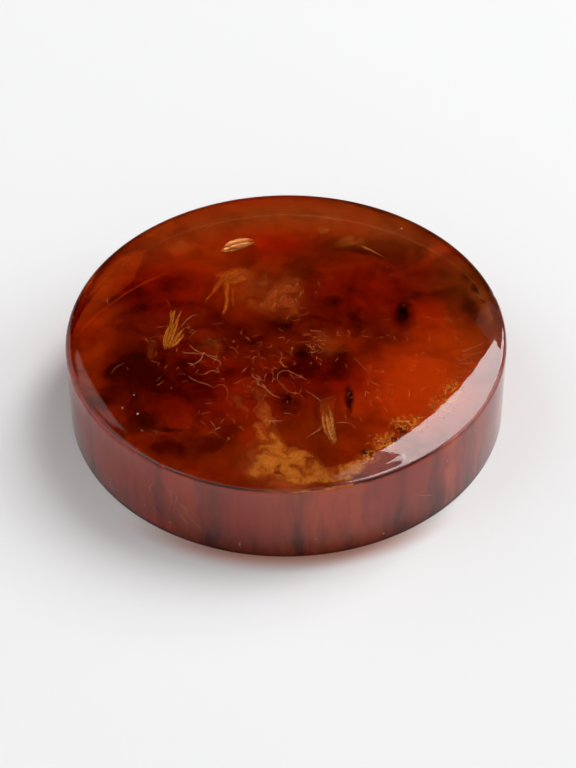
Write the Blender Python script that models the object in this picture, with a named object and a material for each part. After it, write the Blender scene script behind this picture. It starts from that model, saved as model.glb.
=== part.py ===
"""A round disc of dark red amber, cut and polished, with scraps of plant sealed in it.

Units are metres and +Z is up. The origin is the middle of the flat underside, and +Y points
away from whoever looks at the disc from its front. The resin is one piece in life. It is parted
here into a lower and an upper body, so that the scraps can lie in pockets between them.
"""

import math
from typing import NamedTuple

import bmesh
import bpy
from mathutils import Euler, Matrix, Vector

MM = 0.001

# The disc
DISC_RADIUS = 20.0 * MM
RIM_HEIGHT = 8.0 * MM  # from the underside to the edge between the wall and the top
DOME_SLOPE = math.radians(17)  # of the top where it meets that edge
FLAT_SHARE = 0.5  # share of the radius over which the top is flat
DOME_POWER = 1.4  # how the slope grows from there to the edge
EDGE_ROUND = 0.45 * MM
FOOT_ROUND = 0.3 * MM
SEGMENTS = 96
DOME_RINGS = 8
ROUND_STEPS = 3

# Where the resin is parted, and how far touching pieces stand apart
PARTING_HEIGHT = 6.2 * MM
GAP = 0.3 * MM

# Chips in the edge: degrees round from +X, radius of the bite, and how far out its middle lies
RIM_CHIPS = ((-123.0, 0.7 * MM), (15.0, 0.8 * MM))
CHIP_STAND_OFF = 0.45 * MM

AMBER = (0.42, 0.085, 0.012)
PLANT_GOLD = (0.62, 0.33, 0.09)
PLANT_PALE = (0.86, 0.62, 0.36)


class Scrap(NamedTuple):
    """A flat bit of plant. Angles are in degrees, and heading is from +X."""

    length: float
    width: float
    thickness: float
    broad_at: float  # share of the length from its base to its widest part
    ribs: int
    centre: tuple
    heading: float
    tilt: float
    colour: tuple


SCRAPS = {
    "leaf_scale": Scrap(
        5.6 * MM, 1.9 * MM, 0.30 * MM, 0.28, 4, (-9.8 * MM, 0.9 * MM, 6.1 * MM), 70.0, 7.0, PLANT_GOLD
    ),
    "bract_sliver": Scrap(
        4.8 * MM, 1.3 * MM, 0.28 * MM, 0.35, 3, (4.8 * MM, -11.1 * MM, 6.1 * MM), -81.0, -6.0, PLANT_GOLD
    ),
    "pale_flake": Scrap(
        3.6 * MM, 1.5 * MM, 0.26 * MM, 0.50, 1, (-4.3 * MM, 12.9 * MM, 6.2 * MM), 18.0, 8.0, PLANT_PALE
    ),
    "pale_sliver": Scrap(
        3.1 * MM, 0.7 * MM, 0.26 * MM, 0.35, 1, (8.1 * MM, 11.9 * MM, 6.2 * MM), -48.0, -5.0, PLANT_PALE
    ),
}
SCRAP_STATIONS = 14  # along a scrap
COLUMNS_PER_RIB = 2  # across it: a ridge and a groove
FEWEST_COLUMNS = 4
SCRAP_FULLNESS = 1.5  # how fast its outline narrows towards the tips
POCKET_CORNER = 0.4  # radius of a pocket's upright corners, as a share of its width
NARROWEST = 0.12  # the blunt tips, as a share of the width
CURL = 0.18  # rise of the long edges, as a share of the width
BEND = 0.05  # rise of the two tips, as a share of the length
RIB_HEIGHT = 0.05 * MM


def clear_scene():
    for obj in list(bpy.data.objects):
        bpy.data.objects.remove(obj, do_unlink=True)


def finish(name, colour, roughness, transmission=0.0):
    """A plain material in the piece's own colour."""
    material = bpy.data.materials.new(name)
    material.use_nodes = True
    shader = material.node_tree.nodes["Principled BSDF"]
    shader.inputs["Base Color"].default_value = (*colour, 1.0)
    shader.inputs["Roughness"].default_value = roughness
    shader.inputs["Metallic"].default_value = 0.0
    shader.inputs["Transmission Weight"].default_value = transmission
    return material


def add_object(name, form, material):
    mesh = bpy.data.meshes.new(name)
    form.to_mesh(mesh)
    form.free()
    if material:
        mesh.materials.append(material)
    obj = bpy.data.objects.new(name, mesh)
    bpy.context.scene.collection.objects.link(obj)
    return obj


def dome_height(radius):
    """Height of the polished top at this distance from the axis."""
    flat = FLAT_SHARE * DISC_RADIUS
    beyond = max(0.0, radius - flat) / (DISC_RADIUS - flat)
    rise = (DISC_RADIUS - flat) * math.tan(DOME_SLOPE) / (DOME_POWER + 1)
    return RIM_HEIGHT + rise * (1 - beyond ** (DOME_POWER + 1))


def quarter_round(centre_r, centre_z, radius, start, end):
    """Points of a rounded corner, from one angle above the horizontal to another."""
    angles = (start + (end - start) * step / ROUND_STEPS for step in range(ROUND_STEPS + 1))
    return [(centre_r + radius * math.cos(a), centre_z + radius * math.sin(a)) for a in angles]


def lower_profile():
    """Half outline of the lower body, from the axis at the foot to the axis at the parting."""
    foot = quarter_round(DISC_RADIUS - FOOT_ROUND, FOOT_ROUND, FOOT_ROUND, -math.pi / 2, 0.0)
    top = PARTING_HEIGHT - GAP / 2
    return [(0.0, 0.0), *foot, (DISC_RADIUS, top), (0.0, top)]


def upper_profile():
    """Half outline of the upper body, from the axis at the parting to the axis on the dome."""
    bottom = PARTING_HEIGHT + GAP / 2
    last = DISC_RADIUS - EDGE_ROUND
    edge = quarter_round(last, dome_height(last) - EDGE_ROUND, EDGE_ROUND, 0.0, math.pi / 2 - DOME_SLOPE)
    inner = FLAT_SHARE * DISC_RADIUS
    rings = (last + (inner - last) * step / DOME_RINGS for step in range(1, DOME_RINGS + 1))
    dome = [(radius, dome_height(radius)) for radius in rings]
    return [(0.0, bottom), (DISC_RADIUS, bottom), *edge, *dome, (0.0, dome_height(0.0))]


def turned(profile):
    """A solid turned about +Z from half of its outline."""
    form = bmesh.new()
    ring = [form.verts.new((radius, 0.0, height)) for radius, height in profile]
    edges = [form.edges.new(pair) for pair in zip(ring, ring[1:])]
    bmesh.ops.spin(
        form, geom=ring + edges, cent=(0, 0, 0), axis=(0, 0, 1),
        angle=math.tau, steps=SEGMENTS, use_merge=True,
    )
    bmesh.ops.remove_doubles(form, verts=form.verts, dist=0.001 * MM)
    bmesh.ops.recalc_face_normals(form, faces=form.faces)
    return form


def half_width(scrap, along):
    """Half of a scrap's width at this share of its length."""
    before = (along / scrap.broad_at) ** (scrap.broad_at * SCRAP_FULLNESS)
    after = ((1 - along) / (1 - scrap.broad_at)) ** ((1 - scrap.broad_at) * SCRAP_FULLNESS)
    return scrap.width / 2 * max(NARROWEST, before * after)


def scrap_sheet(scrap):
    """The middle surface of a curled, ribbed scrap, centred on the origin along +X."""
    form = bmesh.new()
    columns = max(FEWEST_COLUMNS, COLUMNS_PER_RIB * scrap.ribs)
    bmesh.ops.create_grid(form, x_segments=SCRAP_STATIONS, y_segments=columns, size=0.5)
    for vert in form.verts:
        along, across = vert.co.x + 0.5, vert.co.y * 2
        width = half_width(scrap, along)
        lift = CURL * width * across**2 + BEND * scrap.length * (2 * along - 1) ** 2
        ribbing = RIB_HEIGHT * math.cos(math.tau * scrap.ribs * across / 2)
        vert.co = Vector(((along - 0.5) * scrap.length, across * width, lift + ribbing))
    return form


def make_scrap(name, scrap):
    obj = add_object(name, scrap_sheet(scrap), finish(name, scrap.colour, 0.6))
    solidify = obj.modifiers.new("Thickness", "SOLIDIFY")
    solidify.thickness = scrap.thickness
    solidify.offset = 0.0
    obj.location = scrap.centre
    obj.rotation_euler = Euler((math.radians(scrap.tilt), 0.0, math.radians(scrap.heading)))


def add_pocket(form, scrap):
    """The space that the resin leaves round a scrap: a flat box with its corners rounded off."""
    lift = CURL * scrap.width + BEND * scrap.length
    size = Vector((scrap.length, scrap.width, scrap.thickness + lift + 2 * RIB_HEIGHT))
    size += Vector((2 * GAP, 2 * GAP, 2 * GAP))
    turn = Euler((math.radians(scrap.tilt), 0.0, math.radians(scrap.heading)))
    middle = Matrix.Translation(Vector((0.0, 0.0, lift / 2)))
    seat = Matrix.LocRotScale(Vector(scrap.centre), turn, None)
    box = bmesh.ops.create_cube(form, size=1.0, matrix=seat @ middle @ Matrix.Diagonal((*size, 1.0)))
    upright = seat.to_3x3() @ Vector((0.0, 0.0, 1.0))
    corners = {edge for vert in box["verts"] for edge in vert.link_edges}
    corners = [e for e in corners if abs((e.verts[0].co - e.verts[1].co).normalized().dot(upright)) > 0.9]
    bmesh.ops.bevel(
        form, geom=corners, offset=POCKET_CORNER * size.y, segments=3, profile=0.5, affect="EDGES", material=-1
    )


def make_pockets():
    """One cutter with every pocket in it, since they stand well apart."""
    form = bmesh.new()
    for scrap in SCRAPS.values():
        add_pocket(form, scrap)
    return add_object("pockets", form, None)


def make_chip(index, degrees, radius):
    """A ball that bites a small shell-shaped chip out of the edge."""
    form = bmesh.new()
    bmesh.ops.create_icosphere(form, subdivisions=2, radius=radius)
    cutter = add_object(f"rim_chip_{index}", form, None)
    reach = DISC_RADIUS + CHIP_STAND_OFF
    around = math.radians(degrees)
    cutter.location = (reach * math.cos(around), reach * math.sin(around), RIM_HEIGHT + CHIP_STAND_OFF / 2)
    return cutter


def cut(obj, cutter):
    cutter.hide_render = True
    cutter.display_type = "WIRE"
    bite = obj.modifiers.new(cutter.name, "BOOLEAN")
    bite.operation = "DIFFERENCE"
    bite.object = cutter


def make_amber():
    resin = finish("amber", AMBER, 0.08, transmission=1.0)
    lower = add_object("amber_lower", turned(lower_profile()), resin)
    upper = add_object("amber_upper", turned(upper_profile()), resin)
    for body in (lower, upper):
        body.data.shade_smooth()
        body.data.set_sharp_from_angle(angle=math.radians(30))
    return lower, upper


def main():
    clear_scene()
    lower, upper = make_amber()
    for name, scrap in SCRAPS.items():
        make_scrap(name, scrap)
    pockets = make_pockets()
    cut(lower, pockets)
    cut(upper, pockets)
    for index, (degrees, radius) in enumerate(RIM_CHIPS, start=1):
        cut(upper, make_chip(index, degrees, radius))


main()
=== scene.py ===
"""The amber disc with its looks: polished clear resin with dark smoke, gold cloud and plant scraps in it.

Lengths are metres. The disc lies on its flat underside, and the camera looks along +Y, down onto it.
"""

import math
import random

import bmesh
import bpy
from mathutils import Matrix, Vector


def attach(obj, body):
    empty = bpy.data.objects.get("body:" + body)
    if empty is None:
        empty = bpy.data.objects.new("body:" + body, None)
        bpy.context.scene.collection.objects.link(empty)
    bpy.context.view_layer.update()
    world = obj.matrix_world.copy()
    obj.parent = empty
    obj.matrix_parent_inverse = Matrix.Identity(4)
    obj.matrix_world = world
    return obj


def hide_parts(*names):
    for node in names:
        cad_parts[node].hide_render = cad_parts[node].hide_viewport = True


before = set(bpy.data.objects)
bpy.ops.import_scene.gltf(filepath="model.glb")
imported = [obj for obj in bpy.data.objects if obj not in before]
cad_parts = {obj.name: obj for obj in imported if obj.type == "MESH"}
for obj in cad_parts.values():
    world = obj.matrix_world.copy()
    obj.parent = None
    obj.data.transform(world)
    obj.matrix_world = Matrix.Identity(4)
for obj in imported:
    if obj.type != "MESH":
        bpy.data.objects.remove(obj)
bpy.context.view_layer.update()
scene = bpy.context.scene
scene.cycles.transparent_max_bounces = 32
MM = 0.001


# Camera
# A long lens held in front of the disc and well above it, as the photo was taken.

CAMERA_PLACE = Vector((0.14, -160.9, 154.8)) * MM
CAMERA_TARGET = Vector((0.14, 1.15, 0.6)) * MM
CAMERA_ROLL = math.radians(-0.66)
LENS_MM = 112.5
SENSOR_MM = 36.0
PICTURE = (576, 768)

camera_data = bpy.data.cameras.new("camera")
camera_data.lens = LENS_MM
camera_data.sensor_width = SENSOR_MM
camera_data.clip_start = 0.01
camera = bpy.data.objects.new("camera", camera_data)
scene.collection.objects.link(camera)
aim = (CAMERA_TARGET - CAMERA_PLACE).to_track_quat("-Z", "Y").to_matrix().to_4x4()
camera.matrix_world = Matrix.Translation(CAMERA_PLACE) @ aim @ Matrix.Rotation(CAMERA_ROLL, 4, "Z")
scene.camera = camera
scene.view_settings.view_transform = "Standard"


# Floor
# A white table. Light that comes out at the foot of the disc is painted on it: a warm, darker ring round the foot at
# the front, as painted glow and painted contact shadow.

TABLE_WHITE = (0.87, 0.87, 0.875)
TABLE_PAINTED_GLOW = (0.58, 0.30, 0.23)
PAINTED_GLOW_RING = (19.6, 19.8, 20.0, 22.2)
PAINTED_GLOW_FRONT = (-20.0, -14.0)
TABLE_GAP = 0.01 * MM


def link(obj):
    scene.collection.objects.link(obj)
    return obj


def plain_mesh(name, form):
    mesh = bpy.data.meshes.new(name)
    form.to_mesh(mesh)
    form.free()
    return link(bpy.data.objects.new(name, mesh))


def node_material(name):
    material = bpy.data.materials.new(name)
    material.use_nodes = True
    return material, material.node_tree.nodes, material.node_tree.links


def sum_of(nodes, links, first, second, operation="ADD"):
    node = nodes.new("ShaderNodeMath")
    node.operation = operation
    for index, value in enumerate((first, second)):
        if isinstance(value, (int, float)):
            node.inputs[index].default_value = value
        else:
            links.new(value, node.inputs[index])
    return node.outputs["Value"]


def ramp(nodes, links, value, low, high, to_low=0.0, to_high=1.0):
    node = nodes.new("ShaderNodeMapRange")
    node.interpolation_type = "SMOOTHSTEP"
    node.inputs["From Min"].default_value = low
    node.inputs["From Max"].default_value = high
    node.inputs["To Min"].default_value = to_low
    node.inputs["To Max"].default_value = to_high
    links.new(value, node.inputs["Value"])
    return node.outputs["Result"]


def between(nodes, links, amount, low, high):
    """The first colour where amount is 0, the second where it is 1."""
    mix = nodes.new("ShaderNodeMix")
    mix.data_type = "RGBA"
    links.new(amount, mix.inputs["Factor"])
    for index, colour in ((6, low), (7, high)):
        if isinstance(colour, tuple):
            mix.inputs[index].default_value = (*colour, 1.0)
        else:
            links.new(colour, mix.inputs[index])
    return mix.outputs[2]


def here(nodes):
    return nodes.new("ShaderNodeTexCoord").outputs["Object"]


def height_of(nodes, links, axis="Z"):
    apart = nodes.new("ShaderNodeSeparateXYZ")
    links.new(here(nodes), apart.inputs["Vector"])
    return apart.outputs[axis]


def length_of(nodes, links, place):
    away = nodes.new("ShaderNodeVectorMath")
    away.operation = "LENGTH"
    links.new(place, away.inputs[0])
    return away.outputs["Value"]


table_form = bmesh.new()
bmesh.ops.create_circle(table_form, cap_ends=True, segments=96, radius=3.0)
bmesh.ops.translate(table_form, verts=table_form.verts, vec=(0, 0, -TABLE_GAP))
table = plain_mesh("table", table_form)
table_material, nodes, links = node_material("table_white_painted_glow")
shader = nodes["Principled BSDF"]
shader.inputs["Roughness"].default_value = 0.75
shader.inputs["Specular IOR Level"].default_value = 0.2
reach = length_of(nodes, links, here(nodes))
inside, rising, full, gone = (mm * MM for mm in PAINTED_GLOW_RING)
# Painted glow and contact shadow: a warm, darker ring round the foot, at the front only.
warm = sum_of(
    nodes, links, ramp(nodes, links, reach, inside, rising), ramp(nodes, links, reach, full, gone, 1.0, 0.0), "MULTIPLY"
)
front = ramp(nodes, links, height_of(nodes, links, "Y"), PAINTED_GLOW_FRONT[0] * MM, PAINTED_GLOW_FRONT[1] * MM, 1.0, 0.0)
warm = sum_of(nodes, links, warm, front, "MULTIPLY")
links.new(between(nodes, links, warm, TABLE_WHITE, TABLE_PAINTED_GLOW), shader.inputs["Base Color"])
table.data.materials.append(table_material)


# Light
# A long softbox at the back right with a bright core, a low lamp at the right, a dim card at the left.

SOFTBOX_RADIANCE = 7.2
FOLD_RADIANCE = 1.0
CORE_RADIANCE = 10.0
SPILL_RADIANCE = 0.2
LOW_LAMP_RADIANCE = 2.7
CARD_RADIANCE = 0.78
ROOM_RADIANCE = 0.50
RIGHT_SHOULDER = Vector((13.0, -13.0, 8.6)) * MM
LEFT_SHOULDER = Vector((-15.0, -11.0, 8.6)) * MM


def direction(azimuth, elevation):
    """Unit vector to a light. Azimuth is in degrees round from +X."""
    around, up = math.radians(azimuth), math.radians(elevation)
    return Vector((math.cos(up) * math.cos(around), math.cos(up) * math.sin(around), math.sin(up)))


def panel(name, seen_from, centre, upward, distance, width, height, radiance):
    """A flat light that faces the disc. Width and height are in degrees as the disc sees them."""
    data = bpy.data.lights.new(name, "AREA")
    data.shape = "RECTANGLE"
    data.size = 2 * distance * math.tan(math.radians(width / 2))
    data.size_y = 2 * distance * math.tan(math.radians(height / 2))
    data.energy = radiance * math.pi * data.size * data.size_y
    lamp = link(bpy.data.objects.new(name, data))
    back = centre.normalized()
    side = upward.cross(back).normalized()
    turn = Matrix((side, back.cross(side), back)).transposed().to_4x4()
    lamp.matrix_world = Matrix.Translation(seen_from + back * distance) @ turn
    lamp.visible_camera = False
    return lamp


def edged_panel(name, seen_from, edge_normal, toward, distance, past_edge, along, radiance):
    """A panel whose long edges lie in planes through the point it is seen from.

    The planes are square to edge_normal, past_edge gives their two angles from it, and along gives
    the panel's two ends, in degrees from the direction that lies nearest to toward.
    """
    middle = (toward - edge_normal * edge_normal.dot(toward)).normalized()
    upward = edge_normal.cross(middle)
    slide = math.radians(sum(along) / 2)
    swing = math.radians(sum(past_edge) / 2)
    centre = middle * math.cos(slide) + upward * math.sin(slide)
    centre = centre * math.cos(swing) + edge_normal * math.sin(swing)
    size = (past_edge[1] - past_edge[0], along[1] - along[0])
    return panel(name, seen_from, centre, upward, distance, *size, radiance)


# The straight left edge of the softbox shows on the polished shoulder, and its core along the rim.
# Its near corner is folded back and dim, and a little light spills past its far end.
softbox_edge = direction(-32.3, 4.0)
softbox_middle = direction(63, 44)
for name, past_edge, along, radiance in (
    ("softbox", (0.3, 13.0), (-16, 20), SOFTBOX_RADIANCE),
    ("softbox_end", (4.5, 13.0), (20, 31), SOFTBOX_RADIANCE),
    ("softbox_fold", (0.3, 4.5), (20, 31), FOLD_RADIANCE),
    ("softbox_core", (13.0, 22.0), (-2, 24), CORE_RADIANCE),
    ("softbox_spill", (-5.0, 0.3), (-20, -8), SPILL_RADIANCE),
):
    edged_panel(name, RIGHT_SHOULDER, softbox_edge, softbox_middle, 1.2, past_edge, along, radiance)
edged_panel(
    "left_card", LEFT_SHOULDER, direction(-156.6, -10.2), direction(130, 50), 1.0, (0, 46), (-35, 40), CARD_RADIANCE
)
panel("low_lamp", Vector(), direction(12, 27), Vector((0, 0, 1)), 1.5, 42, 34, LOW_LAMP_RADIANCE)

world = bpy.data.worlds.new("studio")
scene.world = world
world.use_nodes = True
nodes, links = world.node_tree.nodes, world.node_tree.links
background = nodes["Background"]
background.inputs["Strength"].default_value = ROOM_RADIANCE
where = nodes.new("ShaderNodeTexCoord")
toward = nodes.new("ShaderNodeVectorMath")
toward.operation = "DOT_PRODUCT"
toward.inputs[1].default_value = direction(90, 38)
links.new(where.outputs["Generated"], toward.inputs[0])
links.new(ramp(nodes, links, toward.outputs["Value"], 0.45, 0.76, 1.0, 0.0), background.inputs["Color"])
pale = nodes.new("ShaderNodeBackground")
pale.inputs["Color"].default_value = (0.9, 0.9, 0.9, 1.0)
seen = nodes.new("ShaderNodeLightPath")
choose = nodes.new("ShaderNodeMixShader")
links.new(seen.outputs["Is Camera Ray"], choose.inputs["Fac"])
links.new(background.outputs["Background"], choose.inputs[1])
links.new(pale.outputs["Background"], choose.inputs[2])
links.new(choose.outputs["Shader"], nodes["World Output"].inputs["Surface"])


# Clear resin
# One polished piece of amber: a straight wall, a crisp edge and a gently domed top, worked by hand.
# Two small chips are missing from its edge, and its colour goes from clear orange to deep maroon.

DISC_RADIUS = 20.0 * MM
RIM_HEIGHT = 8.0 * MM
DOME_SLOPE = math.radians(17)
FLAT_SHARE = 0.5
DOME_POWER = 1.4
EDGE_ROUND = 0.45 * MM
FOOT_CHAMFER = 0.01 * MM
GUARD = 0.1 * MM  # how near an extra ring lies to an edge, to keep the shading flat up to it
RIM_CHIPS = ((-123.0, 0.7 * MM), (15.0, 0.8 * MM))
CHIP_STAND_OFF = 0.45 * MM
AMBER_IOR = 1.54
DYE_DENSITY = 300.0
DYE_COLOUR = (0.98, 0.55, 0.02)
POLISH_WAVE = 0.012 * MM


def dome_height(radius):
    flat = FLAT_SHARE * DISC_RADIUS
    beyond = max(0.0, radius - flat) / (DISC_RADIUS - flat)
    rise = (DISC_RADIUS - flat) * math.tan(DOME_SLOPE) / (DOME_POWER + 1)
    return RIM_HEIGHT + rise * (1 - beyond ** (DOME_POWER + 1))


def arc(centre_r, centre_z, radius, start, end, steps):
    angles = (start + (end - start) * step / steps for step in range(steps + 1))
    return [(centre_r + radius * math.cos(a), centre_z + radius * math.sin(a)) for a in angles]


def disc_outline():
    """Half outline of the disc, from the axis at the foot, round the wall, to the axis on the dome."""
    underside = [(DISC_RADIUS * share, 0.0) for share in (0.0, 0.25, 0.5, 0.75, 0.9)]
    foot = [(DISC_RADIUS - FOOT_CHAMFER, 0.0), (DISC_RADIUS, FOOT_CHAMFER)]
    wall = [(DISC_RADIUS, 1.5 * MM + 1.5 * MM * step) for step in range(4)]
    last = DISC_RADIUS - EDGE_ROUND
    wall.append((DISC_RADIUS, dome_height(last) - EDGE_ROUND - GUARD))
    edge = arc(last, dome_height(last) - EDGE_ROUND, EDGE_ROUND, 0.0, math.pi / 2 - DOME_SLOPE, 8)
    rings = [last - GUARD, *(last * (1 - step / 30) for step in range(1, 31))]
    dome = [(radius, dome_height(radius)) for radius in rings]
    return [*underside, *foot, *wall, *edge, *dome]


def bite(obj, cutter):
    """Takes the cutter's shape out of the piece, and the cutter away."""
    cut = obj.modifiers.new("bite", "BOOLEAN")
    cut.operation = "DIFFERENCE"
    cut.object = cutter
    result = bpy.data.meshes.new_from_object(obj.evaluated_get(bpy.context.evaluated_depsgraph_get()))
    obj.modifiers.remove(cut)
    obj.data = result
    bpy.data.objects.remove(cutter)


resin_form = bmesh.new()
outline = [resin_form.verts.new((radius, 0.0, height)) for radius, height in disc_outline()]
spine = [resin_form.edges.new(pair) for pair in zip(outline, outline[1:])]
bmesh.ops.spin(
    resin_form, geom=outline + spine, cent=(0, 0, 0), axis=(0, 0, 1), angle=math.tau, steps=256, use_merge=True
)
bmesh.ops.remove_doubles(resin_form, verts=resin_form.verts, dist=0.001 * MM)
bmesh.ops.recalc_face_normals(resin_form, faces=resin_form.faces)
resin = plain_mesh("clear_resin", resin_form)
for degrees, radius in RIM_CHIPS:
    chip_form = bmesh.new()
    reach = DISC_RADIUS + CHIP_STAND_OFF
    around = math.radians(degrees)
    seat = Vector((reach * math.cos(around), reach * math.sin(around), RIM_HEIGHT + CHIP_STAND_OFF / 2))
    bmesh.ops.create_icosphere(chip_form, subdivisions=3, radius=radius, matrix=Matrix.Translation(seat))
    bite(resin, plain_mesh("chip", chip_form))
resin.data.shade_smooth()
resin.data.set_sharp_from_angle(angle=math.radians(35))


def blots(nodes, links, place, marks, core=0.2):
    """Adds soft oval marks, each (x, y, half length, half width, degrees, strength) in millimetres."""
    total = None
    for x, y, half_length, half_width, degrees, strength in marks:
        if degrees:
            local = nodes.new("ShaderNodeMapping")
            local.vector_type = "TEXTURE"
            local.inputs["Location"].default_value = (x * MM, y * MM, 0)
            local.inputs["Rotation"].default_value = (0, 0, math.radians(degrees))
            local.inputs["Scale"].default_value = (half_length * MM, half_width * MM, 1)
        else:
            # A plain shift and scale, which leaves the renderer room for many marks in one material.
            local = nodes.new("ShaderNodeVectorMath")
            local.operation = "MULTIPLY_ADD"
            local.inputs[1].default_value = (1 / (half_length * MM), 1 / (half_width * MM), 0)
            local.inputs[2].default_value = (-x / half_length, -y / half_width, 0)
        links.new(place, local.inputs[0])
        away = length_of(nodes, links, local.outputs["Vector"])
        mark = ramp(nodes, links, away, core, 1.1, strength, 0.0)
        total = mark if total is None else sum_of(nodes, links, total, mark)
    return total


def noise(nodes, links, place, grain_mm, detail=4.0, roughness=0.55, stretch=(1, 1, 1), distortion=0.0):
    """Noise whose lumps are about grain_mm across, drawn out by stretch."""
    drawn = nodes.new("ShaderNodeMapping")
    drawn.inputs["Scale"].default_value = [1 / s for s in stretch]
    links.new(place, drawn.inputs["Vector"])
    node = nodes.new("ShaderNodeTexNoise")
    node.inputs["Scale"].default_value = 1 / (grain_mm * MM)
    node.inputs["Detail"].default_value = detail
    node.inputs["Roughness"].default_value = roughness
    node.inputs["Distortion"].default_value = distortion
    links.new(drawn.outputs["Vector"], node.inputs["Vector"])
    return node.outputs["Fac"]


def tinted(nodes, links, colour, dye, amount):
    """The colour times a dye or a painted shade, as far as amount says."""
    mixed = between(nodes, links, amount, colour, dye)
    mixed.node.blend_type = "MULTIPLY"
    return mixed


def drifted(nodes, links, place, wander):
    """The place moved about by noise, so that marks get ragged, swirled edges."""
    for grain_mm, reach_mm in wander:
        swirl = noise(nodes, links, place, grain_mm, detail=2.0).node.outputs["Color"]
        spread = nodes.new("ShaderNodeVectorMath")
        spread.operation = "MULTIPLY_ADD"
        spread.inputs[1].default_value = [reach_mm * MM * 2] * 3
        spread.inputs[2].default_value = [-reach_mm * MM] * 3
        links.new(swirl, spread.inputs[0])
        moved = nodes.new("ShaderNodeVectorMath")
        links.new(place, moved.inputs[0])
        links.new(spread.outputs["Vector"], moved.inputs[1])
        place = moved.outputs["Vector"]
    return place


def bump(nodes, links, shader, height, distance):
    node = nodes.new("ShaderNodeBump")
    node.inputs["Distance"].default_value = distance
    links.new(height, node.inputs["Height"])
    links.new(node.outputs["Normal"], shader.inputs["Normal"])


SLIDE_PER_DEPTH = 0.53
MARK_HEIGHT = 4.6
FOCAL_PIXELS = LENS_MM / SENSOR_MM * PICTURE[1]
PIXELS_PER_MM = 10.9
FORESHORTENING = 0.70


def sight(column, row):
    """The direction in which the camera looks through a pixel of the photo."""
    ahead = Vector(((column - PICTURE[0] / 2) / FOCAL_PIXELS, (PICTURE[1] / 2 - row) / FOCAL_PIXELS, -1.0))
    return (camera.matrix_world.to_3x3() @ ahead).normalized()


def entry_point(column, row):
    """Where the line of sight through a pixel of the photo meets the polished top, and its direction."""
    ahead = sight(column, row)
    entry = CAMERA_PLACE.copy()
    surface = dome_height(0.0)
    for _ in range(4):
        entry = CAMERA_PLACE + ahead * ((surface - CAMERA_PLACE.z) / ahead.z)
        surface = dome_height(min(entry.xy.length, DISC_RADIUS))
    return entry, ahead


def seen_at(column, row, height_mm):
    """The point at this height in the resin that the camera sees at a pixel of the photo, through the top."""
    entry, ahead = entry_point(column, row)
    bent = Vector((ahead.x, ahead.y, 0.0)) / AMBER_IOR
    bent.z = -math.sqrt(1 - bent.length_squared)
    return entry + bent * ((height_mm * MM - entry.z) / bent.z)


def laid(height_mm, marks, spread=1.0):
    """Marks given in pixels of the photo, laid out flat at this height for blots, larger by spread."""
    placed = []
    for column, row, half_across, half_down, degrees, strength in marks:
        x, y, _ = seen_at(column, row, height_mm) / MM
        half_length = spread * half_across / PIXELS_PER_MM
        half_width = spread * half_down / (PIXELS_PER_MM * FORESHORTENING)
        placed.append((x, y, half_length, half_width, degrees, strength))
    return placed


def sunk(nodes, links, depth_mm):
    """Object coordinates, slid so that marks planned at mid depth line up from the front at this depth."""
    slide = nodes.new("ShaderNodeVectorMath")
    slide.inputs[1].default_value = (0, -depth_mm * SLIDE_PER_DEPTH * MM, 0)
    links.new(here(nodes), slide.inputs[0])
    return slide.outputs["Vector"]


# The dark body colour is the same all over. These marks make it deeper, or with a minus clearer.
BODY_DARKNESS = 0.665
DARKNESS = (
    (-2.0, 16.8, 18.0, 4.8, 0, -0.50),
    (-9.0, 12.8, 7.5, 3.4, 8, -0.26),
    (-2.0, 15.2, 4.0, 2.6, 0, -0.20),
    (6.5, 15.8, 3.4, 2.0, 0, -0.30),
    (-6.0, 9.2, 3.6, 3.0, 0, -0.30),
    (-17.2, 0.8, 2.6, 7.0, 8, -0.34),
    (16.1, 11.2, 4.2, 2.0, -35, -0.35),
    (13.5, 3.2, 2.4, 3.4, -20, -0.25),
    (14.8, 0.4, 2.6, 3.4, 0, -0.25),
    (17.4, 0.5, 3.4, 5.0, 0, -0.35),
    (-11.0, -3.6, 8.0, 6.6, 0, 0.26),
    (-13.0, 6.0, 4.4, 4.0, 20, 0.16),
    (-4.0, 0.5, 8.0, 5.0, 0, 0.10),
    (4.5, 5.0, 5.0, 4.0, -20, 0.14),
    (10.4, 4.0, 2.8, 4.2, 0, 0.14),
    (2.5, -4.0, 5.0, 3.6, 0, 0.16),
    (12.5, -6.0, 7.8, 8.0, -35, -0.66),
    (7.4, -8.0, 3.4, 3.0, 0, -0.18),
    (2.0, -13.5, 10.0, 5.0, 0, -0.26),
    (0.5, -10.8, 4.5, 2.6, 0, -0.10),
    (-10.5, -15.0, 4.0, 2.0, -40, -0.12),
    (2.0, 2.5, 4.5, 3.2, 0, 0.20),
    (6.5, 3.5, 2.5, 3.5, 0, 0.15),
    (6.0, -3.0, 2.2, 2.4, 0, 0.20),
    (-10.0, -4.5, 5.0, 3.5, 0, 0.10),
    (-10.5, -12.0, 3.0, 1.4, -15, 0.20),
    (-5.0, 3.0, 5.0, 2.0, 0, 0.08),
)
REDDER = (
    (7.5, 7.0, 8.0, 6.5, 0, 0.9),
    (-10.5, 7.5, 6.0, 6.0, 0, 0.8),
    (-8.0, -5.0, 10.0, 8.0, 0, 0.8),
    (3.5, -4.5, 6.5, 4.5, 0, 0.8),
    (-1.0, 13.2, 5.0, 2.0, 0, 0.5),
)
BROWNER = (
    (-5.0, 9.0, 4.0, 4.5, 0, 0.5),
    (0.8, 8.5, 4.0, 4.5, 0, 0.6),
    (5.0, 13.8, 6.0, 2.4, 0, 0.6),
    (16.2, 8.0, 3.5, 3.5, 0, 0.8),
    (4.0, -12.5, 8.5, 4.5, 0, 0.5),
    (-6.5, -12.5, 5.0, 2.4, -10, 0.5),
)
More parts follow.
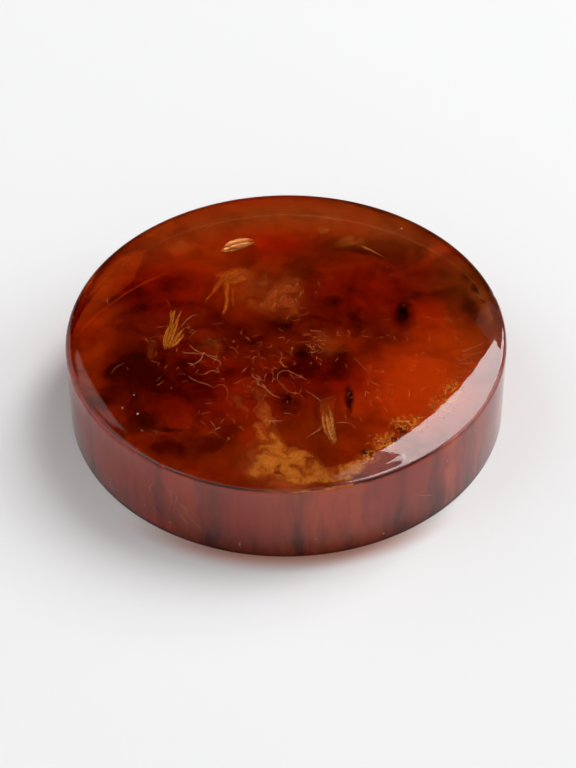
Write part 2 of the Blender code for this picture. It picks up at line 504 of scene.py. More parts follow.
# Zones that the photo shows, as column, row and half sizes in its pixels, degrees and strength.
DARKER_SEEN = (
    (353, 229, 24, 13, 0, -0.46),
    (382, 244, 32, 12, 0, -0.36),
    (420, 257, 18, 20, 0, -0.27),
    (441, 275, 20, 17, -20, -0.28),
    (427, 314, 20, 30, 0, -0.17),
    (370, 275, 15, 14, 0, -0.26),
    (357, 387, 15, 16, 0, 0.12),
    (373, 408, 15, 12, 0, 0.10),
    (449, 340, 26, 19, 0, -0.18),
    (424, 376, 32, 24, 10, -0.34),
    (445, 390, 16, 14, 0, -0.20),
    (339, 364, 11, 16, 0, 0.08),
    (307, 352, 14, 12, 0, 0.14),
    (181, 249, 18, 12, 0, -0.55),
    (205, 226, 48, 13, 0, -0.16),
    (290, 218, 66, 13, 0, -0.16),
    (151, 282, 30, 15, 0, -0.04),
    (143, 305, 26, 17, 0, -0.02),
    (93, 335, 20, 20, 0, 0.18),
    (92, 360, 14, 16, 0, 0.12),
    (230, 470, 22, 13, 0, -0.24),
    (302, 432, 38, 20, 0, -0.14),
    (285, 401, 20, 12, 0, 0.18),
    (320, 248, 20, 15, 0, 0.18),
    (134, 370, 34, 24, 0, 0.18),
    (96, 383, 12, 14, 0, -0.30),
    (383, 436, 24, 14, 0, -0.25),
    (414, 295, 14, 9, 0, -0.12),
    (265, 327, 36, 22, 0, 0.08),
    (187, 404, 34, 16, 0, -0.04),
)
REDDER_SEEN = (
    (285, 240, 100, 16, 0, 0.55),
    (353, 227, 24, 14, 0, 0.40),
    (430, 265, 34, 24, -20, 0.60),
    (427, 314, 24, 30, 0, 0.50),
    (402, 314, 14, 18, 0, 0.90),
    (147, 293, 38, 30, 0, 0.80),
    (93, 331, 20, 18, 0, 0.40),
    (339, 364, 12, 16, 0, 0.50),
)
BROWNER_SEEN = (
    (302, 429, 40, 24, 0, 0.70),
    (257, 393, 12, 11, 0, 0.60),
    (238, 402, 8, 12, 0, 0.70),
    (96, 381, 10, 14, 0, 0.80),
    (230, 470, 24, 14, 0, 0.40),
    (181, 249, 15, 10, 0, 0.40),
)
DARK_DYE = (0.13, 0.06, 0.10)
RED_DYE = (0.92, 0.35, 0.50)
BROWN_DYE = (0.62, 0.80, 0.60)
# Painted shade on the top edge at the back: its tint, the heights it lies between and where it begins.
RIM_PAINTED_SHADE = (0.30, 0.27, 0.30)
RIM_SHADE_BAND = (7.62, 7.72, 8.12, 8.36)  # heights between which the edge is tinted
RIM_SHADE_BACK = (-4.0, 6.0)  # the tint is on the edge at the back only

resin_material, nodes, links = node_material("clear_amber")
shader = nodes["Principled BSDF"]
shader.inputs["Roughness"].default_value = 0.03
shader.inputs["IOR"].default_value = AMBER_IOR
shader.inputs["Transmission Weight"].default_value = 1.0
dye = nodes.new("ShaderNodeVolumeAbsorption")
dye.inputs["Color"].default_value = (*DYE_COLOUR, 1.0)
dye.inputs["Density"].default_value = DYE_DENSITY
links.new(dye.outputs["Volume"], nodes["Material Output"].inputs["Volume"])
ragged = drifted(nodes, links, sunk(nodes, links, MARK_HEIGHT), ((6.5, 0.9), (1.8, 0.4)))
flow = noise(nodes, links, ragged, 4.2, detail=5.0, roughness=0.55, stretch=(1.3, 1, 1), distortion=1.2)
mottle = noise(nodes, links, ragged, 1.3, detail=4.0, roughness=0.6)
underside = ramp(nodes, links, height_of(nodes, links), 0.12 * MM, 0.35 * MM, 1.0, 0.0)
darkness = blots(nodes, links, ragged, (*DARKNESS, *laid(MARK_HEIGHT, DARKER_SEEN)))
darkness = sum_of(nodes, links, darkness, BODY_DARKNESS)
darkness = sum_of(nodes, links, darkness, ramp(nodes, links, flow, 0.34, 0.66, -0.16, 0.16))
darkness = sum_of(nodes, links, darkness, ramp(nodes, links, mottle, 0.34, 0.66, -0.06, 0.06))
colour = (1.0, 1.0, 1.0)
for amount, tint in (
    (darkness, DARK_DYE),
    (blots(nodes, links, ragged, (*REDDER, *laid(MARK_HEIGHT, REDDER_SEEN))), RED_DYE),
    (blots(nodes, links, ragged, (*BROWNER, *laid(MARK_HEIGHT, BROWNER_SEEN))), BROWN_DYE),
):
    colour = tinted(nodes, links, colour, tint, sum_of(nodes, links, amount, underside, "MULTIPLY"))
# Painted shade: the top edge is darkened at the back only.
level = height_of(nodes, links)
starts, full, fades, ends = (mm * MM for mm in RIM_SHADE_BAND)
edge = sum_of(
    nodes, links, ramp(nodes, links, level, starts, full), ramp(nodes, links, level, fades, ends, 1.0, 0.0), "MULTIPLY"
)
at_back = ramp(nodes, links, height_of(nodes, links, "Y"), RIM_SHADE_BACK[0] * MM, RIM_SHADE_BACK[1] * MM)
colour = tinted(nodes, links, colour, RIM_PAINTED_SHADE, sum_of(nodes, links, edge, at_back, "MULTIPLY"))
links.new(colour, shader.inputs["Base Color"])
bump(nodes, links, shader, noise(nodes, links, here(nodes), 3.5, detail=2.0), POLISH_WAVE)
resin.data.materials.append(resin_material)
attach(resin, "root")
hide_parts("amber_lower", "amber_upper")


# Cloud layers
# Old flows of resin left two veils in the disc: a dark smoky one, and a speckled golden one over it.
# Their marks are placed where the photo shows them: column, row and half sizes are in its pixels.

SMOKE_HEIGHT = 4.8
SMOKE_SPREAD = 1.2
SMOKE = (
    (419, 258, 9, 13, -15, 0.32),
    (441, 275, 15, 11, -20, 0.26),
    (461, 278, 7, 7, 0, 0.45),
    (474.5, 290, 9, 7, -5, 1.15),
    (481, 297, 8, 7, 0, 1.0),
    (466, 307, 10, 18, 8, 0.58),
    (402, 313, 8, 13, -10, 0.80),
    (413, 296, 10, 5.5, 15, 0.38),
    (403, 316, 14, 15, 0, 0.40),
    (349, 291, 9, 12, -10, 0.42),
    (350, 315, 5, 4.5, 0, 0.42),
    (358, 309, 6, 2.5, 35, 0.30),
    (370, 275, 9, 10, 0, 0.30),
    (376, 322, 17, 22, 0, 0.14),
    (382, 245, 23, 7, -3, 0.30),
    (338, 246, 17, 9, 0, 0.28),
    (300, 268, 18, 15, 0, 0.32),
    (334, 301, 9, 6, -20, 0.40),
    (322, 304, 15, 8, 0, 0.22),
    (286, 325, 7, 6.5, -20, 0.32),
    (280, 326, 20, 13, 0, 0.24),
    (307, 351, 16, 13, -30, 0.48),
    (340, 363, 14, 18, 0, 0.46),
    (348.5, 400, 4.6, 14, -4, 1.0),
    (288, 398, 4.5, 5, 0, 0.40),
    (286, 402, 18, 10, 0, 0.40),
    (135, 366, 30, 22, 0, 0.28),
    (148, 419, 15, 9, -10, 0.52),
    (170, 427.5, 20, 3, -8, 0.55),
    (208, 444, 28, 9, 0, 0.22),
    (145, 305, 19, 13, 30, 0.30),
    (391, 437, 6, 2.5, 15, 0.90),
    (363.5, 449, 8, 3.5, 20, 0.55),
    (399, 427.5, 6, 3, 20, 0.70),
    (316, 417, 5, 7, 0, 0.22),
)
OLIVE = (
    (461, 281, 26, 18, -20, 1.0),
    (350, 246, 50, 14, 0, 0.8),
    (298, 268, 24, 26, 0, 0.6),
    (390, 437, 50, 20, 20, 0.9),
)
GOLD_HEIGHT = 5.6
GOLD_CLOUD = (
    (263, 426, 12, 15, 10, 0.50),
    (268, 441, 18, 14, 0, 0.75),
    (283, 454, 24, 13, 0, 0.85),
    (301, 461, 24, 14, 0, 0.90),
    (308, 472, 44, 10, 0, 0.85),
    (335, 470, 26, 10, 0, 0.80),
    (352, 463, 16, 8, 20, 0.80),
    (258, 462, 22, 18, 0, 0.50),
    (381, 440, 11, 6, 35, 0.80),
)
GOLD_HAZE = (
    (257, 393, 9, 9, 0, 0.22),
    (263, 411, 9, 13, 8, 0.45),
    (268, 428, 13, 13, 10, 0.36),
    (258, 458, 24, 20, 0, 0.36),
    (292, 482, 55, 8, 0, 0.22),
    (350, 243, 20, 8, 0, 0.28),
    (181, 249, 14, 9, 10, 0.12),
    (234, 275, 24, 11, 0, 0.42),
    (326, 408, 9, 12, 0, 0.20),
    (239, 402, 6, 13, 25, 0.26),
    (284, 302, 24, 22, 0, 0.32),
    (292, 283, 15, 15, 0, 0.20),
    (268, 306, 18, 11, 0, 0.18),
    (326, 345, 20, 15, 0, 0.16),
    (257, 288, 36, 26, 0, 0.24),
    (216, 345, 20, 14, 0, 0.10),
    (153, 352, 6, 14, 0, 0.08),
    (323, 231, 8, 5, 0, 0.18),
    (489, 314, 10, 15, 0, 0.30),
    (475, 297, 12, 7, 0, 0.15),
)
GOLD_SPECKLED = (
    (407, 421, 22, 9, 12, 1.2),
    (384, 439, 17, 9, 30, 1.2),
    (449, 390, 14, 13, 0, 1.0),
    (365, 455, 17, 7, 25, 1.1),
    (268, 421, 8, 5, 0, 0.8),
    (440, 404, 18, 10, 40, 0.8),
)
GOLD_PALE = (1.0, 0.84, 0.32)
GOLD_DEEP = (0.66, 0.40, 0.13)
HAZE_TAN = (0.80, 0.52, 0.30)
SPECKLE_GOLD = (1.0, 0.90, 0.40)
SMOKE_DARK = (0.022, 0.005, 0.004)
SMOKE_OLIVE = (0.10, 0.062, 0.012)
VEIL_THICKNESS = 0.03 * MM


def veil(name, height_mm, radius_mm, sway_mm, material):
    """A thin, gently wavy layer across the disc."""
    form = bmesh.new()
    bmesh.ops.create_circle(form, cap_ends=True, segments=96, radius=radius_mm * MM)
    for _ in range(5):
        bmesh.ops.inset_region(form, faces=[f for f in form.faces if len(f.verts) > 4], thickness=radius_mm / 6 * MM)
    for vert in form.verts:
        along, across = vert.co.x / (9 * MM), vert.co.y / (7 * MM)
        vert.co.z = (height_mm + sway_mm * math.sin(along + 0.6) * math.cos(across)) * MM
    bmesh.ops.recalc_face_normals(form, faces=form.faces)
    bmesh.ops.solidify(form, geom=form.faces[:], thickness=VEIL_THICKNESS)
    bmesh.ops.recalc_face_normals(form, faces=form.faces)
    layer = plain_mesh(name, form)
    layer.data.shade_smooth()
    layer.data.set_sharp_from_angle(angle=math.radians(40))
    layer.data.materials.append(material)
    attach(layer, "root")
    return layer


def matt_material(name, roughness=0.8):
    material, nodes, links = node_material(name)
    shader = nodes["Principled BSDF"]
    shader.inputs["Roughness"].default_value = roughness
    shader.inputs["Specular IOR Level"].default_value = 0.0
    return material, nodes, links, shader




cloud_material, nodes, links, shader = matt_material("gold_cloud")
place = here(nodes)
ragged = drifted(nodes, links, place, ((2.4, 0.5), (0.8, 0.25)))
billow = noise(nodes, links, place, 1.5, detail=6.0, roughness=0.62, distortion=0.9)
fine = noise(nodes, links, place, 0.30, detail=4.0, roughness=0.7)
swell = ramp(nodes, links, billow, 0.28, 0.72, 0.30, 1.45)
shape = sum_of(nodes, links, blots(nodes, links, ragged, laid(GOLD_HEIGHT, GOLD_CLOUD)), swell, "MULTIPLY")
thick = sum_of(
    nodes, links, ramp(nodes, links, shape, 0.12, 1.05, 0.0, 0.94), ramp(nodes, links, fine, 0.3, 0.7, 0.7, 1.0), "MULTIPLY"
)
hazy = sum_of(
    nodes, links, blots(nodes, links, ragged, laid(GOLD_HEIGHT, GOLD_HAZE), core=0.0),
    ramp(nodes, links, billow, 0.32, 0.66, 0.15, 1.5), "MULTIPLY",
)
grains = ramp(nodes, links, noise(nodes, links, place, 0.28, detail=3.0), 0.47, 0.58)
speckled = sum_of(nodes, links, blots(nodes, links, ragged, laid(GOLD_HEIGHT, GOLD_SPECKLED)), grains, "MULTIPLY")
cover = sum_of(nodes, links, sum_of(nodes, links, thick, hazy, "MAXIMUM"), speckled, "MAXIMUM")
links.new(cover, shader.inputs["Alpha"])
gold = between(nodes, links, ramp(nodes, links, billow, 0.36, 0.62), GOLD_DEEP, GOLD_PALE)
gold = between(nodes, links, ramp(nodes, links, thick, 0.1, 0.4), HAZE_TAN, gold)
gold = between(nodes, links, ramp(nodes, links, speckled, 0.2, 0.5), gold, SPECKLE_GOLD)
links.new(gold, shader.inputs["Base Color"])
veil("gold_cloud", GOLD_HEIGHT, 18.9, 0.12, cloud_material)

smoke_material, nodes, links, shader = matt_material("smoke")
place = here(nodes)
ragged = drifted(nodes, links, place, ((3.0, 0.4), (1.0, 0.25)))
wisps = noise(nodes, links, ragged, 2.2, detail=5.0, roughness=0.55, distortion=0.8)
thin = ramp(nodes, links, wisps, 0.45, 0.75, 0.0, 0.07)
dense = sum_of(
    nodes, links, blots(nodes, links, ragged, laid(SMOKE_HEIGHT, SMOKE, SMOKE_SPREAD), core=0.0), 0.85, "MULTIPLY"
)
cover = sum_of(nodes, links, sum_of(nodes, links, thin, dense), 0.92, "MINIMUM")
links.new(cover, shader.inputs["Alpha"])
smoky = between(nodes, links, blots(nodes, links, ragged, laid(SMOKE_HEIGHT, OLIVE)), SMOKE_DARK, SMOKE_OLIVE)
links.new(smoky, shader.inputs["Base Color"])
veil("smoke_layer", SMOKE_HEIGHT, 18.9, 0.12, smoke_material)


# Murk under the wall
# A thin cloudy layer just inside the wall, brownish red, drawn out into soft dark upright streaks, and darkened towards
# the foot as painted contact shade.

MURK_RADIUS = 19.5 * MM
MURK_RIM = 19.97 * MM
MURK_FOOT = 0.06 * MM
MURK_TOP = 7.5 * MM
MURK_THICKNESS = 0.03 * MM
WALL_STREAKS = (
    (-17.2, -9.2, 1.2, 1.2, 0, 0.35),
    (-10.8, -16.2, 0.9, 0.9, 0, 0.48),
    (-6.6, -18.3, 2.2, 2.2, 0, 0.34),
    (1.2, -19.5, 1.5, 1.5, 0, 0.36),
    (9.6, -17.0, 0.9, 0.9, 0, 0.30),
    (12.7, -14.8, 1.1, 1.1, 0, 0.44),
    (15.8, -11.4, 0.9, 0.9, 0, 0.30),
    (18.2, -7.0, 1.0, 1.0, 0, 0.25),
)
WALL_ORANGE = (
    (3.5, -19.4, 6.5, 3.0, 0, 0.8),
    (14.2, -13.6, 0.9, 0.9, 0, 0.9),
    (-9.0, -17.5, 2.5, 2.5, 0, 0.4),
)
MURK_RED = (0.55, 0.060, 0.018)
MURK_ORANGE = (0.80, 0.13, 0.022)
MURK_DARK = (0.10, 0.016, 0.010)

murk_form = bmesh.new()
profile = ((MURK_RIM, MURK_FOOT), (MURK_RADIUS, MURK_FOOT), (MURK_RADIUS, MURK_TOP))
corners = [murk_form.verts.new((radius, 0.0, height)) for radius, height in profile]
sides = [murk_form.edges.new(pair) for pair in zip(corners, corners[1:])]
bmesh.ops.spin(
    murk_form, geom=corners + sides, cent=(0, 0, 0), axis=(0, 0, 1), angle=math.tau, steps=192, use_merge=True
)
bmesh.ops.remove_doubles(murk_form, verts=murk_form.verts, dist=0.001 * MM)
bmesh.ops.recalc_face_normals(murk_form, faces=murk_form.faces)
bmesh.ops.solidify(murk_form, geom=murk_form.faces[:], thickness=MURK_THICKNESS)
bmesh.ops.recalc_face_normals(murk_form, faces=murk_form.faces)
murk = plain_mesh("wall_murk", murk_form)
murk.data.shade_smooth()
murk.data.set_sharp_from_angle(angle=math.radians(30))
murk_material, nodes, links, shader = matt_material("wall_murk")
coords = here(nodes)
drift = drifted(nodes, links, coords, ((5.0, 0.9), (1.2, 0.2)))
streaks = noise(nodes, links, drift, 1.1, detail=5.0, roughness=0.6, stretch=(1, 1, 8))
dark = blots(nodes, links, drift, WALL_STREAKS, core=0.0)
dark = sum_of(nodes, links, dark, ramp(nodes, links, streaks, 0.36, 0.70, -0.10, 0.34))
# Painted contact shade: the murk gets darker towards the foot of the wall.
foot = ramp(nodes, links, height_of(nodes, links), 0.2 * MM, 4.4 * MM, 0.34, 0.0)
dark = sum_of(nodes, links, sum_of(nodes, links, dark, foot), 0.9, "MINIMUM")
warm = between(nodes, links, blots(nodes, links, drift, WALL_ORANGE), MURK_RED, MURK_ORANGE)
links.new(between(nodes, links, dark, warm, MURK_DARK), shader.inputs["Base Color"])
broad = noise(nodes, links, coords, 6.0, detail=2.0, stretch=(1, 1, 4))
cover = ramp(nodes, links, broad, 0.3, 0.7, 0.74, 0.92)
leftward = sum_of(nodes, links, height_of(nodes, links, "X"), 0.3, "MULTIPLY")
behind = sum_of(nodes, links, height_of(nodes, links, "Y"), leftward)
front = ramp(nodes, links, behind, -3.0 * MM, 6.0 * MM, 1.0, 0.0)
links.new(sum_of(nodes, links, cover, front, "MULTIPLY"), shader.inputs["Alpha"])
murk.data.materials.append(murk_material)
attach(murk, "root")


# Leaf scale
# A torn golden scale left of the middle: ribbed splinters that lie side by side. Its pale filament is drawn among the
# curled hairs.

LEAF_HEIGHT = 6.4
LEAF_BLADES = (
    ((164.8, 349.5), (164, 337), (171, 323), 0.42),
    ((166, 349.5), (169, 336), (176, 320), 0.42),
    ((168, 349), (173, 337), (179.5, 317), 0.34),
    ((168, 349), (176, 340), (184, 327), 0.40),
    ((170, 348), (179, 343), (185, 332), 0.36),
    ((167, 345), (171, 333), (173, 326), 0.30),
    ((171, 332), (171, 319), (176, 308), 0.40),
    ((174, 327), (178, 317), (182, 310), 0.26),
    ((172, 323), (170, 314), (172, 309), 0.22),
)
LEAF_GOLD = (1.0, 0.74, 0.20)
LEAF_BROWN = (0.34, 0.11, 0.02)


def splinters(name, height_mm, blades, material, thickness_mm=0.06, lift_mm=0.08, droop_mm=0.0):
    """Curled, tapered splinters. Each runs from one pixel of the photo, past a second, to a third."""
    form = bmesh.new()
    lay = form.loops.layers.uv.new("lay")
    for index, (start, bend, end, width_mm) in enumerate(blades):
        level = height_mm + lift_mm * (index % 3 - 1)
        first, middle, last = (seen_at(*pixel, level) for pixel in (start, bend, end))
        first.z += droop_mm * MM
        last.z -= droop_mm * MM
        made = bmesh.ops.create_grid(form, x_segments=12, y_segments=4, size=0.5)["verts"]
        at = {vert: (vert.co.x + 0.5, vert.co.y * 2) for vert in made}
        for vert, (along, across) in at.items():
            spot = first * (1 - along) ** 2 + middle * 2 * along * (1 - along) + last * along**2
            heading = ((middle - first) * (1 - along) + (last - middle) * along).normalized()
            side = Vector((-heading.y, heading.x, 0.0))
            half = width_mm / 2 * MM * max(0.1, math.sin(math.pi * min(1.0, 0.06 + 0.94 * along)) ** 0.7)
            vert.co = spot + side * across * half + Vector((0, 0, 0.3 * half * across**2))
        for face in {face for vert in made for face in vert.link_faces}:
            for loop in face.loops:
                loop[lay].uv = (at[loop.vert][0] + index, at[loop.vert][1])
    bmesh.ops.recalc_face_normals(form, faces=form.faces)
    piece = plain_mesh(name, form)
    piece.data.shade_smooth()
    shell = piece.modifiers.new("Thickness", "SOLIDIFY")
    shell.thickness = thickness_mm * MM
    shell.offset = 0.0
    piece.data.materials.append(material)
    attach(piece, "root")
    return piece


def plant_material(name, bright, dark, ribs=3.0, darkest=0.85, fray=0.45, most=1.0):
    """Dry plant skin with ribs that run along it, paler on their crests and darker between them, and worn thin at its
    edges and tips.
    """
    material, nodes, links, shader = matt_material(name, 0.55)
    apart = nodes.new("ShaderNodeSeparateXYZ")
    links.new(nodes.new("ShaderNodeTexCoord").outputs["UV"], apart.inputs["Vector"])
    rows = sum_of(nodes, links, apart.outputs["Y"], ribs * math.pi, "MULTIPLY")
    wander = noise(nodes, links, here(nodes), 0.7, detail=4.0)
    rows = sum_of(nodes, links, rows, sum_of(nodes, links, wander, 6.0, "MULTIPLY"))
    crest = sum_of(nodes, links, rows, 0.0, "SINE")
    spots = noise(nodes, links, here(nodes), 0.25, detail=5.0, roughness=0.7)
    groove = sum_of(
        nodes, links, ramp(nodes, links, crest, -0.2, 0.9, 0.45, 0.0), ramp(nodes, links, spots, 0.45, 0.75, 0.0, 0.6)
    )
    skin = between(nodes, links, ramp(nodes, links, groove, 0.0, 1.0, 0.0, darkest), bright, dark)
    links.new(skin, shader.inputs["Base Color"])
    bump(nodes, links, shader, crest, 0.02 * MM)
    along = sum_of(nodes, links, apart.outputs["X"], 0.0, "FRACT")
    tip = sum_of(nodes, links, sum_of(nodes, links, sum_of(nodes, links, along, 2.0, "MULTIPLY"), -1.0), 0.0, "ABSOLUTE")
    worn = sum_of(
        nodes, links, sum_of(nodes, links, apart.outputs["Y"], 0.0, "ABSOLUTE"), ramp(nodes, links, tip, 0.6, 1.0, 0.0, 0.7)
    )
    worn = sum_of(nodes, links, worn, ramp(nodes, links, spots, 0.3, 0.7, -0.15, 0.40))
    links.new(ramp(nodes, links, worn, fray, 1.25, most, 0.0), shader.inputs["Alpha"])
    return material


leaf = splinters(
    "torn_leaf", LEAF_HEIGHT, LEAF_BLADES, plant_material("leaf_gold", LEAF_GOLD, LEAF_BROWN, ribs=2.0, fray=0.65)
)
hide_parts("leaf_scale")


# Bract sliver
# A pale brown wedge near the front, split lengthways, with the thin end towards the rim.

BRACT_BLADES = (
    ((323, 410), (321, 427), (333.6, 443.6), 0.42),
    ((329.5, 406), (332.5, 426), (334.2, 443.2), 0.45),
    ((326, 412), (328, 430), (334, 441.5), 0.55),
    ((331, 424), (335.5, 430), (335, 441), 0.25),
)
BRACT_TAN = (1.0, 0.82, 0.50)
BRACT_BROWN = (0.50, 0.20, 0.06)

bract = splinters("split_bract", 6.2, BRACT_BLADES, plant_material("bract_tan", BRACT_TAN, BRACT_BROWN, ribs=2.0))
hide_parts("bract_sliver")


# Pale flake
# A glinting flake at the back left, its layers lifted apart so that they catch the light.

FLAKE_BLADES = (
    ((220, 252), (236, 249), (256, 241), 0.95),
    ((224, 248.5), (238, 241), (254, 239.5), 0.95),
    ((229, 249), (241, 246), (252, 242.5), 0.80),
)
FLAKE_PALE = (1.0, 0.88, 0.72)
FLAKE_TAN = (0.95, 0.60, 0.34)
FLAKE_DROOP = 0.2

flake_material = plant_material("flake_pale", FLAKE_PALE, FLAKE_TAN, ribs=1.0, darkest=0.5, fray=0.5)
flake_shader = flake_material.node_tree.nodes["Principled BSDF"]
flake_shader.inputs["Metallic"].default_value = 0.55
flake_shader.inputs["Roughness"].default_value = 0.42
flake = splinters("pale_layers", 6.4, FLAKE_BLADES, flake_material, droop_mm=FLAKE_DROOP)
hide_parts("pale_flake")


# Pale sliver
# A thin pale splinter at the back right.

SLIVER_BLADES = (
    ((359, 246), (367, 249), (378, 255), 0.42),
    ((366, 250), (373, 252), (386, 259), 0.20),
)
SLIVER_PALE = (0.66, 0.46, 0.28)
SLIVER_BROWN = (0.40, 0.18, 0.08)

sliver = splinters(
    "pale_splinter", 6.3, SLIVER_BLADES,
    plant_material("splinter_pale", SLIVER_PALE, SLIVER_BROWN, ribs=1.0, darkest=0.6),
)
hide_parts("pale_sliver")


# Forked scrap
# A limp golden brown scrap behind the leaf, with a torn lump at its head and three thin tails.

FORK_BLADES = (
    ((217, 283), (230, 277), (244, 268), 1.30),
    ((222, 280), (231, 272), (242, 269), 0.90),
    ((224, 283), (237, 282), (250, 277), 0.90),
    ((223, 281), (217, 286), (212, 294), 0.75),
    ((228, 276), (227, 290), (226.5, 306), 0.62),
    ((227.5, 294), (228, 307), (222, 316), 0.55),
    ((217, 288), (212, 294), (204, 302), 0.22),
    ((231, 287), (236, 298), (232, 308), 0.20),
    ((252, 297), (251, 304), (247, 309), 0.16),
)
FORK_GOLD = (0.95, 0.46, 0.10)
FORK_BROWN = (0.42, 0.11, 0.02)

fork = splinters(
    "forked_scrap", 6.6, FORK_BLADES,
    plant_material("fork_brown", FORK_GOLD, FORK_BROWN, ribs=1.0, darkest=0.5, fray=-0.1, most=0.65),
)


# Hairs
# Plant hairs lie all through the top of the disc, in tangles, loops and single threads.

STAR_TANGLE = (
    ((189.5, 344.8), (193, 348), (197.2, 351.2), (204.2, 353.8)),
    ((184.4, 353), (193, 353), (201, 354), (204.2, 353.8)),
    ((204.2, 352), (202, 357), (200.4, 360), (194, 364), (189, 366)),
    ((204.2, 353.8), (211.2, 355.7), (218.9, 357.5)),
    ((206, 355), (213.8, 358.9), (219.5, 361.4), (220.5, 366)),
    ((187, 363.3), (191.5, 364), (195.3, 368)),
)
KNOT = (
    ((252, 371.6), (253.3, 376.7), (257, 379.3), (258.4, 384.4), (263.5, 387), (268, 390.8), (272.4, 394.6), (280, 397.8)),
    ((252, 377.4), (256, 378), (261, 379.3)),
    ((254.6, 374), (258, 376), (261, 378)),
    ((257, 385.6), (258.5, 382), (260, 378)),
    ((262, 383.5), (264.5, 386), (266.5, 389.5)),
    ((262, 420.5), (273, 420.5), (284, 420.5)),
    ((268, 419), (272, 421), (277, 425)),
)
CURLED_HAIRS = (
    ((199, 374.6), (204.8, 374), (208.7, 371.6), (213.8, 370.6), (220, 373)),
    ((188.3, 376), (192.7, 379.3), (201, 382.5), (207.4, 384.4), (213.8, 387.6)),
    ((278.8, 381.8), (277.3, 376.7), (278.8, 373), (284, 370.6), (289, 371.4), (295.4, 374.2), (306.3, 380)),
    ((176, 332), (184.4, 322.5), (192, 316), (197.8, 314.9)),
    ((306.3, 390.8), (314.5, 395.9), (321, 401.6)),
    ((334, 423.6), (341.7, 422), (349.8, 423)),
    ((307, 437), (314.9, 432), (323.5, 426.5)),
    ((336, 396), (335, 398.5), (333.7, 401.6)),
    ((211, 421), (213.5, 424), (216, 428)),
)
FAINT_HAIRS = (
    ((112, 373.5), (117, 367), (125, 363)),
    ((214, 388), (221.4, 384.4), (227.8, 390.8), (225.3, 401)),
    ((278.8, 381.8), (284, 388), (290, 392), (298, 393.3), (301.8, 388)),
    ((287.8, 380.6), (292, 382), (295.4, 384.4)),
    ((322, 401), (328, 398), (333.7, 396.5)),
    ((261, 365.3), (266, 367.5), (272.4, 369)),
    ((254.6, 356), (253, 361), (253.3, 365)),
    ((231.6, 353.8), (235, 355.5), (238, 359)),
    ((244.4, 357.6), (248, 357.2), (251.4, 358.9)),
    ((178, 373.5), (181, 374), (183.8, 373)),
    ((183, 381.6), (186, 381), (189.5, 380.6)),
    ((210, 325), (217, 323.5), (224.6, 323.4)),
    ((189.5, 337.8), (192, 334.6), (197, 329.5)),
    ((207.4, 336.6), (211, 339.5), (216.3, 341)),
    ((166, 299), (168.5, 302.5), (170.4, 307.3)),
    ((208, 434), (213, 431), (221, 438)),
    ((354, 357), (362, 366), (371, 376)),
    ((311.4, 331.5), (319, 332), (326.7, 331.8)),
    ((294, 343.6), (302, 342), (309.4, 341.7)),
    ((317, 353.8), (321, 352), (325.4, 350)),
    ((300.5, 315.5), (305, 315), (309.4, 312.3)),
    ((152, 429), (157, 431), (155, 437)),
    ((393, 232.5), (397, 231), (401, 229)),
    ((452, 365), (465, 363), (478, 362)),
    ((455, 372), (468, 369), (480, 368)),
    ((458, 352), (470, 348), (482, 343)),
    ((462, 358), (474, 354), (484, 350)),
    ((449, 378), (460, 376), (471, 375)),
    ((444, 312), (447, 317), (451, 322)),
)
STRAY_FIELDS = (
    (265, 365, 75, 42, 90),
    (318, 343, 26, 14, 34),
    (290, 300, 24, 20, 26),
    (160, 345, 45, 35, 24),
    (400, 345, 45, 40, 26),
    (380, 400, 40, 30, 30),
    (230, 420, 50, 22, 20),
    (462, 358, 18, 16, 10),
)
STRAY_SEED = 11


def on_wall(column, row, radius):
    """The point on an upright cylinder round the axis that the camera sees at a pixel of the photo."""
    ahead = sight(column, row)
    across, start = ahead.xy, CAMERA_PLACE.xy
    toward_axis = -start.dot(across) / across.length_squared
    nearest = start + across * toward_axis
    back = math.sqrt(radius**2 - nearest.length_squared) / across.length
    return CAMERA_PLACE + ahead * (toward_axis - back)


def strands(name, material, groups, placed=seen_at):
    """Round hairs that taper to their ends. A group is a width and a level in millimetres, and its paths.

    The level is what placed takes: a height for seen_at, or a depth under the wall.
    """
    curve = bpy.data.curves.new(name, "CURVE")
    curve.dimensions = "3D"
    curve.bevel_depth = MM
    curve.bevel_resolution = 1
    curve.resolution_u = 4
    curve.use_fill_caps = True
    for width_mm, level_mm, paths in groups:
        for index, path in enumerate(paths):
            spline = curve.splines.new("BEZIER")
            spline.bezier_points.add(len(path) - 1)
            for step, (point, pixel) in enumerate(zip(spline.bezier_points, path)):
                sway = 0.12 * math.sin(2.1 * step + index)
                point.co = placed(*pixel, level_mm + sway)
                point.handle_left_type = point.handle_right_type = "AUTO"
                inner = min(step, len(path) - 1 - step)
                point.radius = width_mm / 2 * (0.5 if inner == 0 else 1.0)
    curve.materials.append(material)
    hairs = link(bpy.data.objects.new(name, curve))
    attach(hairs, "root")
    return hairs


def stray_paths(fields, seed):
    """Short bent hairs strewn over oval fields, each given as column, row, half sizes and count."""
    draw = random.Random(seed)
    paths = []
    for column, row, half_across, half_down, count in fields:
        for _ in range(count):
            x = draw.gauss(column, half_across * 0.55)
            y = draw.gauss(row, half_down * 0.55)
            heading = draw.uniform(0, math.tau)
            bend = draw.gauss(0.0, 0.35)
            stride = draw.uniform(1.2, 3.6)
            path = [(x, y)]
            for _ in range(3):
                x += stride * math.cos(heading)
                y += stride * math.sin(heading) * FORESHORTENING
                heading += bend
                path.append((x, y))
            paths.append(tuple(path))
    return paths


def hair_material(name, pale, dark):
    material, nodes, links, shader = matt_material(name, 0.4)
    patches = noise(nodes, links, here(nodes), 0.6, detail=4.0)
    links.new(between(nodes, links, ramp(nodes, links, patches, 0.35, 0.65), pale, dark), shader.inputs["Base Color"])
    return material


